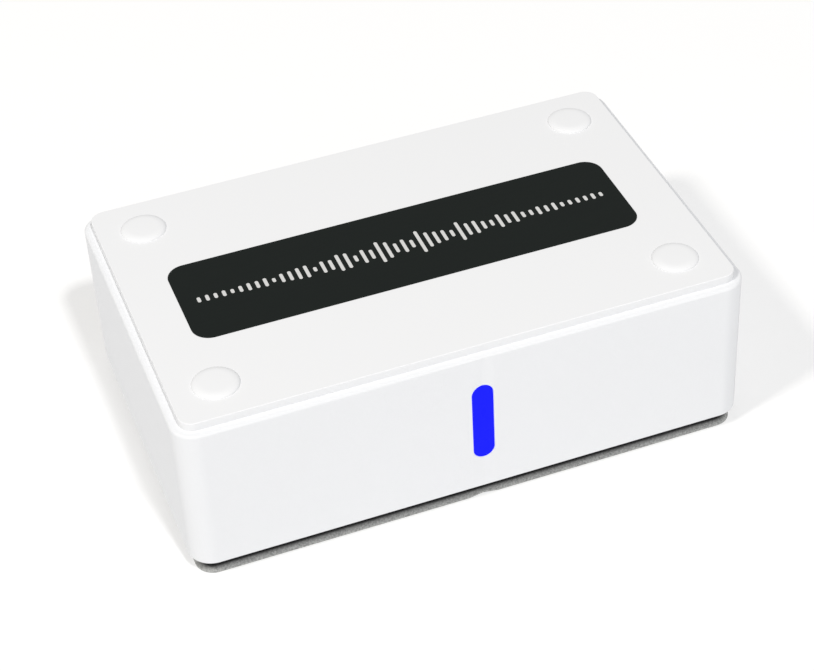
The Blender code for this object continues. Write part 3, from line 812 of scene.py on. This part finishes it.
    def make_base(self) -> None:
        """Grey base: a floor with a hollowed edge, the lip, columns and standoffs."""
        box, house = self.tray, self.housing
        low, top = box.low.z - self.skirt, box.low.z + self.floor
        base = self.base_floor(low)
        start = top - 1.0 * MM
        lip_x, lip_y = (length - 2 * (self.wall + CLEAR) for length in house.size.xy)
        lip = Form.block((lip_x, lip_y, self.lip_top - start), self.corner - self.wall - CLEAR)
        base.fuse(lip.at((house.middle.x, house.middle.y, (self.lip_top + start) / 2)))
        high = 20 * MM
        well = Form.block((lip_x - 2 * self.lip_wall, lip_y - 2 * self.lip_wall, high), 1.5 * MM)
        base.cut(well.at((house.middle.x, house.middle.y, top + high / 2)))
        behind, deep = Box.of("rear_panel").low.y - 2 * CLEAR, 10 * MM
        rear = Form.block((box.size.x, deep, high))
        base.cut(rear.at((box.middle.x, behind + deep / 2, top + high / 2)))
        for corner in Corner:
            foot = Box.of(f"rubber_foot_{corner.value}")
            base.fuse(Form.rod(3.5 * MM, start, box.high.z).on_upright(foot))
            hole = Form.rod(self.screw_hole, 7 * MM, box.high.z + BEYOND, steps=32)
            pocket = Form.rod(foot.size.x / 2 + 0.1 * MM, 0.0, box.low.z + 0.8 * MM, steps=64)
            base.cut(hole.on_upright(foot), pocket.on_upright(foot))
        board = Box.of("main_board").low.z - CLEAR
        for number in range(1, 5):
            screw = Box.of(f"board_screw_{number}")
            base.fuse(Form.rod(2.7 * MM, start, board).on_upright(screw))
            base.cut(Form.rod(1.4 * MM, top + 0.5 * MM, 12 * MM, steps=24).on_upright(screw))
        base.cut(self.valley(1.2 * self.valley_width, self.notch, box.low.y))
        # The base's grey turns dark towards its top edge: painted shade under the housing's
        # overhang.
        finish = SpeckledWithPaintedShade("base_grey", "base_grey", (0.45, 0.455, 0.445), (0.006, 0.006, 0.007),
                        low + 0.05 * MM, low + 1.05 * MM)
        self.shop.deliver("base", base, finish, "base_tray")

    def base_floor(self, low: float) -> Form:
        """Make the base's floor, whose edge curves in from a short straight foot."""
        box = self.tray
        straight, lean, rise, steps = 0.2 * MM, 1.5 * MM, 1.9 * MM + self.skirt, 7
        form = Form.block((box.size.x, box.size.y, straight), self.base_corner, corner_steps=16)
        form.at((box.middle.x, box.middle.y, low + straight / 2))
        top_face = max(form.bm.faces, key=lambda f: f.calc_center_median().z)
        turns = [math.pi / 2 * (0.25 + 0.7 * step / steps) for step in range(steps + 1)]
        whole_in = math.sin(turns[-1]) - math.sin(turns[0])
        whole_up = math.cos(turns[0]) - math.cos(turns[-1])
        for turn, following in zip(turns, turns[1:]):
            bmesh.ops.inset_region(
                form.bm, faces=[top_face], use_even_offset=True,
                thickness=lean * (math.sin(following) - math.sin(turn)) / whole_in,
                depth=rise * (math.cos(turn) - math.cos(following)) / whole_up)
        return form

    def make_corner(self, corner: Corner) -> None:
        """The cap, the long screw and the rubber foot of one corner."""
        node = f"screw_cap_{corner.value}"
        cap = Box.of(node)
        radius, top, stem = cap.size.x / 2, cap.high.z, 3.2 * MM
        rim = top - 1.0 * MM
        dome = arc_down(radius, top, self.cap_round, top - self.plate.high.z, 8)
        button = Form.turned([(0, top), *dome, (radius, rim), (stem, rim), (stem, cap.low.z),
                              (0, cap.low.z)], steps=80)
        self.shop.deliver(f"cap_{corner.value}", button.on_upright(cap), PLATE_WHITE, node)
        self.make_screw(corner)
        node = f"rubber_foot_{corner.value}"
        foot = Box.of(node)
        radius, top = foot.size.x / 2, foot.high.z
        tread = ((radius - inward * MM, level * MM) for inward, level in (
            (0.0, 0.45), (0.12, 0.2), (0.4, 0.0), (1.2, 0.0), (1.35, 0.12), (1.65, 0.12),
            (1.8, 0.0)))
        pad = Form.turned([(0, top), (radius, top), *tread, (0, 0)])
        self.shop.deliver(f"foot_{corner.value}", pad.on_upright(foot), FOOT, node)

    def make_screw(self, corner: Corner) -> None:
        """Long case screw with a cross recess and rolled thread rings."""
        node = f"case_screw_{corner.value}"
        box = Box.of(node)
        head, crest, root, pitch = box.size.x / 2, 1.45 * MM, 1.2 * MM, 0.7 * MM
        neck, tip = 1.25 * MM, 0.6 * MM
        high, low = box.high.z, box.low.z
        seat = high - 2.0 * MM
        level = seat - 3 * MM
        profile = [(0, high), *arc_down(head, high, 0.8 * MM, steps=5), (head, seat),
                   (neck, seat), (neck, level)]
        while level - pitch > low + 1.4 * MM:
            profile += [(crest, level - pitch * 0.5), (root, level - pitch)]
            level -= pitch
        screw = Form.turned([*profile, (tip, low + 0.5 * MM), (0, low)], steps=32)
        for turn in (0.0, math.pi / 2):
            screw.cut(Form.block((head * 1.2, 0.75 * MM, 2.0 * MM)).spun(turn).at((0, 0, high)))
        self.shop.deliver(f"screw_{corner.value}", screw.on_upright(box), STEEL, node)


# ---- front light

@dataclass
class FrontLight:
    """Blue light pipe, and the small board that carries its two lamps."""

    shop: Workshop

    def build(self) -> None:
        """Make the pipe, its lamps and their board."""
        box = Box.of("light_pipe")
        width, height = box.size.x - 2 * FLANGE, box.size.z - 2 * FLANGE
        depth = box.size.y - FLANGE
        nose = Form.slot(width, height, depth, 0.22 * MM, 16)
        nose.at((box.middle.x, box.low.y + depth / 2, box.middle.z), Facing.FRONT)
        collar = Form.slot(box.size.x, box.size.z, FLANGE, 0.1 * MM, 16)
        collar.at((box.middle.x, box.high.y - FLANGE / 2, box.middle.z), Facing.FRONT)
        finish = Lit("blue_acrylic", "blue_acrylic", (0.002, 0.003, 0.3), (0.01, 0.0135, 1.0),
                     1.0, tuple(box.middle), height / 2)
        self.shop.deliver("light_lens", nose.add(collar), finish, "light_pipe")
        for name in ("upper", "lower"):
            self.make_lamp(name)
        self.shop.dress("lamp_board", BOARD)

    def make_lamp(self, name: str) -> None:
        """Surface lamp: a pale frame with a round well, filled with clear resin."""
        node = f"status_lamp_{name}"
        box = Box.of(node)
        lamp = Form.block((box.size.x, box.size.z, box.size.y), 0.2 * MM, 0.1 * MM)
        brim, bottom, floor = 1.15 * MM, 0.9 * MM, 0.1 * MM
        lamp.cut(Form.turned([(0, box.size.y), (brim, box.size.y), (bottom, floor), (0, floor)],
                             steps=32))
        finish = Lit("lamp_resin", "blue_lamp", (0.1, 0.12, 0.6), (0.1, 0.12, 1.0), 1.6,
                     tuple(box.middle), 1.3 * MM)
        self.shop.deliver(f"lamp_{name}", lamp.at(box.middle, Facing.FRONT), finish, node)


# ---- rear panel

@dataclass
class RearPanel:
    """Dark panel with the phono pair, the line socket, the supply inlet and the controls."""

    shop: Workshop
    mouth: float = 0.25 * MM

    def __post_init__(self) -> None:
        """Read the panel's place."""
        self.panel = Box.of("rear_panel")

    def build(self) -> None:
        """Make the panel and everything that looks through it."""
        self.make_panel()
        for channel in Channel:
            self.make_phono(channel)
        self.make_line_socket()
        self.make_supply_inlet()
        self.make_power_switch()
        self.make_pair_button()

    def opening(self, radius: float) -> Form:
        """Make a round cutter that flares where it leaves the panel's outer face."""
        face, wide = self.panel.high.y, radius + self.mouth
        out, back = face + 2 * BEYOND, face - 8 * MM
        return Form.turned([(0, out), (wide + 2 * BEYOND, out), (wide, face),
                            (radius, face - self.mouth), (radius, back), (0, back)], steps=64)

    def make_panel(self) -> None:
        """Panel plate, its flange, a shallow frame line and the holes."""
        box, thick, flange_thick = self.panel, 2.0 * MM, 1.6 * MM
        width, height = box.size.x - 2 * FLANGE, box.size.z - FLANGE + CLEAR / 2
        plate = Form.block((width, height, thick), 0.4 * MM, 0.2 * MM)
        plate.at((box.middle.x, box.high.y - thick / 2, box.low.z + height / 2), Facing.REAR)
        back = Form.block((box.size.x, flange_thick, box.size.z))
        plate.fuse(back.at((box.middle.x, box.low.y + flange_thick / 2, box.middle.z)))
        for node, radius in (("phono_barrel_left", 4.3), ("phono_barrel_right", 4.3),
                             ("line_jack_sleeve", 3.15), ("pair_button_cap", 2.5),
                             ("power_jack_pin", 4.12)):
            plate.cut(self.opening(radius * MM).on_level(Box.of(node)))
        knob, travel, gap, line = Box.of("power_switch_knob"), 4.0 * MM, 0.5 * MM, 2.2 * MM
        x, z = knob.middle.x + travel / 2, knob.middle.z
        width, height = knob.size.x + travel, knob.size.z
        plate.cut(Form.block((width + gap, 12 * MM, height + gap)).at((x, box.high.y, z)),
                  Form.block((width + line, height + line, 0.6 * MM), 0.8 * MM).at(
                      (x, box.high.y + 0.05 * MM, z), Facing.REAR))
        self.shop.deliver("rear_face", plate, PANEL_CHARCOAL, "rear_panel")

    def make_phono(self, channel: Channel) -> None:
        """One phono socket: gilt barrel with a collar, coloured ring and split contact."""
        side, face = channel.value, self.panel.high.y
        box, ring_box, contact_box = (Box.of(f"phono_{part}_{side}")
                                      for part in ("barrel", "insulator", "contact"))
        start, end = box.low.y, box.high.y
        outer, inner, collar, groove = box.size.x / 2, 3.3 * MM, 5.0 * MM, 0.25 * MM
        barrel = [*lip_up(inner, end, 0.25 * MM), *arc_down(outer, end, 0.35 * MM)]
        barrel += ((radius, face + level * MM) for radius, level in (
            (outer, 1.6), (outer - groove, 1.35), (outer - groove, 0.95),
            (collar - 0.2 * MM, 0.95), (collar, 0.75), (collar, 0.02), (outer, 0.02)))
        barrel = Form.turned([*barrel, (outer, start), (inner, start)], closed=True, steps=72)
        self.shop.deliver(f"barrel_{side}", barrel.on_level(box), GOLD, f"phono_barrel_{side}")
        outer, inner, end = ring_box.size.x / 2 + 0.25 * MM, 2.1 * MM, ring_box.high.y
        ring = Form.turned([*lip_up(inner, end, 0.3 * MM), *arc_down(outer, end, 0.15 * MM),
                            (outer, start), (inner, start)], closed=True)
        tint = RING_PALE if channel is Channel.LEFT else RING_RED
        self.shop.deliver(f"ring_{side}", ring.on_level(box), tint, f"phono_insulator_{side}")
        outer, inner, end = contact_box.size.x / 2, 1.6 * MM, contact_box.high.y
        edge = 0.1 * MM
        contact = Form.turned([*lip_up(inner, end, 0.12 * MM, 3), (outer - edge, end),
                               (outer, end - edge), (outer, start), (inner, start)],
                              closed=True, steps=48)
        for turn in (math.pi / 4, math.pi * 3 / 4):
            contact.cut(Form.block((6 * MM, 0.35 * MM, 8 * MM)).spun(turn).at((0, 0, end)))
        self.shop.deliver(f"contact_{side}", contact.on_level(box), GOLD, f"phono_contact_{side}")

    def make_line_socket(self) -> None:
        """3.5 mm socket: block, threaded-looking nose and metal sleeve."""
        sleeve, body = Box.of("line_jack_sleeve"), Box.of("line_jack_body")
        end, start, bore = body.high.y, sleeve.low.y, 1.8 * MM
        face, out, back = end - 4.0 * MM, end + BEYOND, end - 15 * MM
        block = Form.filling(body.spanning(face - 14 * MM, face), 0.3 * MM, 0.2 * MM)
        block.fuse(Form.rod(3.0 * MM, face - BEYOND, end, 0.3 * MM, 64).on_level(sleeve))
        outer = sleeve.size.x / 2
        wide, step = outer + 0.05 * MM, start - CLEAR
        block.cut(Form.turned([(0, out), (wide, out), (wide, step), (bore, step), (bore, back),
                               (0, back)]).on_level(sleeve))
        self.shop.deliver("line_socket", block, SOCKET_BLACK, "line_jack_body")
        ring = Form.turned([*lip_up(bore, end, 0.3 * MM), *arc_down(outer, end, 0.1 * MM, steps=3),
                            (outer, start), (bore, start)], closed=True)
        self.shop.deliver("line_sleeve", ring.on_level(sleeve), STEEL, "line_jack_sleeve")

    def make_supply_inlet(self) -> None:
        """Supply inlet: block with a round nose, bore and domed pin."""
        pin, body = Box.of("power_jack_pin"), Box.of("power_jack_body")
        end, face = body.high.y, self.panel.low.y - CLEAR
        block = Form.filling(body.spanning(body.low.y, face), 0.3 * MM, 0.2 * MM)
        block.fuse(Form.rod(4.0 * MM, face - BEYOND, end, 0.2 * MM, 64).on_level(pin))
        bore, flare, floor, out = 3.1 * MM, 0.35 * MM, end - 10 * MM, end + BEYOND
        block.cut(Form.turned([(0, out), (bore + 4 * flare, out), (bore + flare, end),
                               (bore, end - flare), (bore, floor), (0, floor)]).on_level(pin))
        self.shop.deliver("supply_inlet", block, SOCKET_BLACK, "power_jack_body")
        radius, tip = pin.size.x / 2, pin.high.y
        post = Form.turned([(0, tip), *arc_down(radius, tip, radius * 0.8, steps=7),
                            (radius, pin.low.y), (0, pin.low.y)], steps=32)
        self.shop.deliver("supply_pin", post.on_level(pin), STEEL, "power_jack_pin")

    def make_power_switch(self) -> None:
        """Slide switch: folded metal case, and the knob with three finger ridges."""
        box, case = Box.of("power_switch_knob"), Box.of("power_switch_case")
        knob = Form.block((box.size.x, box.size.z, box.size.y), 0.2 * MM, 0.3 * MM)
        for offset in (-0.7, 0.0, 0.7):
            groove = Form.block((0.32 * MM, 4 * MM, 0.7 * MM))
            knob.cut(groove.at((offset * MM, 0, box.size.y / 2)))
        self.shop.deliver("switch_knob", knob.at(box.middle, Facing.REAR), SOCKET_BLACK,
                          "power_switch_knob")
        shell = Form.filling(case, 0.35 * MM, 0.25 * MM)
        pocket = Form.block((box.size.x + 4.6 * MM, 6 * MM, box.size.z + 2 * CLEAR))
        shell.cut(pocket.at((case.middle.x, case.high.y, box.middle.z)))
        self.shop.deliver("switch_case", shell, STEEL, "power_switch_case")

    def make_pair_button(self) -> None:
        """Pairing button: dished cap, plunger and the dome switch's body."""
        box, plunger, body = map(Box.of, ("pair_button_cap", "pair_switch_plunger",
                                          "pair_switch_body"))
        low, end = box.low.y, box.high.y
        stem, flange, step, steps = 2.3 * MM, box.size.x / 2, low + 0.9 * MM, 5
        turns = (math.pi / 2 * number / steps for number in range(steps + 1))
        dish = [(1.8 * MM * math.sin(turn), end - 0.35 * MM * math.cos(turn)) for turn in turns]
        cap = Form.turned([*dish, *arc_down(stem, end, 0.3 * MM), (stem, step), (flange, step),
                           (flange, low), (0, low)])
        self.shop.deliver("button_cap", cap.on_level(box), SOCKET_BLACK, "pair_button_cap")
        radius = plunger.size.x / 2
        rod = Form.rod(radius, plunger.low.y, plunger.high.y, 0.25 * MM, 40)
        self.shop.deliver("button_plunger", rod.on_level(box), RING_PALE, "pair_switch_plunger")
        block = Form.filling(body, 0.25 * MM, 0.2 * MM)
        hole = Form.rod(radius + CLEAR / 2, body.high.y - 2.3 * MM, body.high.y + BEYOND)
        block.cut(hole.on_level(box))
        self.shop.deliver("button_switch", block, CHIP_BLACK, "pair_switch_body")


# ---- electronics

@dataclass
class Electronics:
    """Main board and what stands on it."""

    shop: Workshop

    def build(self) -> None:
        """Dress the boards and their parts."""
        kept = {"main_board": BOARD, "radio_module_board": BOARD, "radio_shield_can": STEEL,
                "radio_antenna": CERAMIC, "converter_chip": CHIP_BLACK,
                "output_driver_chip": CHIP_BLACK, "voltage_regulator": CHIP_BLACK,
                "power_coil": FERRITE, "clock_crystal": STEEL, "phono_block": SOCKET_BLACK}
        kept.update({f"board_screw_{number}": STEEL for number in range(1, 5)})
        kept.update({f"reservoir_capacitor_{number}": CAN for number in range(1, 4)})
        for node, finish in kept.items():
            self.shop.dress(node, finish)


# ---- studio

@dataclass
class Studio:
    """Pale floor, soft lights and the camera."""

    eye: Vector = field(default_factory=lambda: Vector((-0.09349, -0.28973, 0.26335)))
    look: Vector = field(default_factory=lambda: Vector((0.23747, 0.72982, -0.64107)))
    roll: float = math.radians(3.534)
    lens: float = 97.31
    sky: float = 0.37

    def build(self) -> None:
        """Make the studio."""
        self.make_camera()
        self.make_floor()
        self.make_sky()
        self.make_light("key_light", (0.15, -1.42, 2.0), 0.16, 27.0)
        self.make_light("window_light", (-1.16, -0.4, 1.58), 0.2, 15.6, (1.0, 0.97, 0.92))
        bpy.context.scene.view_settings.view_transform = 'Standard'

    def make_camera(self) -> None:
        """Camera to the left of the front and above it, held a little askew."""
        ahead = self.look.normalized()
        right = ahead.cross(Vector((0, 0, 1))).normalized()
        level = Matrix((right, right.cross(ahead), -ahead)).transposed()
        turn = level @ Matrix.Rotation(-self.roll, 3, "Z")
        data = bpy.data.cameras.new("camera")
        data.lens = self.lens
        data.clip_start = 0.01
        data.dof.use_dof = False
        camera = stand("camera", data)
        camera.matrix_world = Matrix.Translation(self.eye) @ turn.to_4x4()
        bpy.context.scene.camera = camera

    def make_floor(self) -> None:
        """Wide pale floor just under the feet."""
        form = Form()
        bmesh.ops.create_grid(form.bm, x_segments=1, y_segments=1, size=4.0)
        floor = stand("floor", form.mesh("floor"))
        floor.data.materials.append(Ground("studio_floor", "").material())

    def make_sky(self) -> None:
        """Even white surroundings."""
        world = bpy.data.worlds.new("white_room")
        world.use_nodes = True
        back = world.node_tree.nodes["Background"]
        back.inputs["Color"].default_value = (1.0, 1.0, 1.0, 1.0)
        back.inputs["Strength"].default_value = self.sky
        bpy.context.scene.world = world

    def make_light(self, name: str, place: Sequence[float], size: float, power: float,
                   tint: Colour = (1.0, 1.0, 1.0)) -> None:
        """Square soft light that faces the object."""
        data = bpy.data.lights.new(name, 'AREA')
        data.size = size
        data.energy = power
        data.color = tint
        light = stand(name, data)
        light.location = place
        light.rotation_mode = 'QUATERNION'
        towards = Vector((0, 0, 15 * MM)) - Vector(place)
        light.rotation_quaternion = towards.to_track_quat("-Z", "Y")


def main() -> None:
    """Build the studio and the object."""
    logging.basicConfig(level=logging.INFO, format="%(message)s")
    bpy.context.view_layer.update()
    shop = Workshop()
    Studio().build()
    for assembly in (Case(shop), FrontLight(shop), RearPanel(shop), Electronics(shop)):
        assembly.build()
        log.info("%s finished", type(assembly).__name__)


if __name__ == "__main__":
    main()
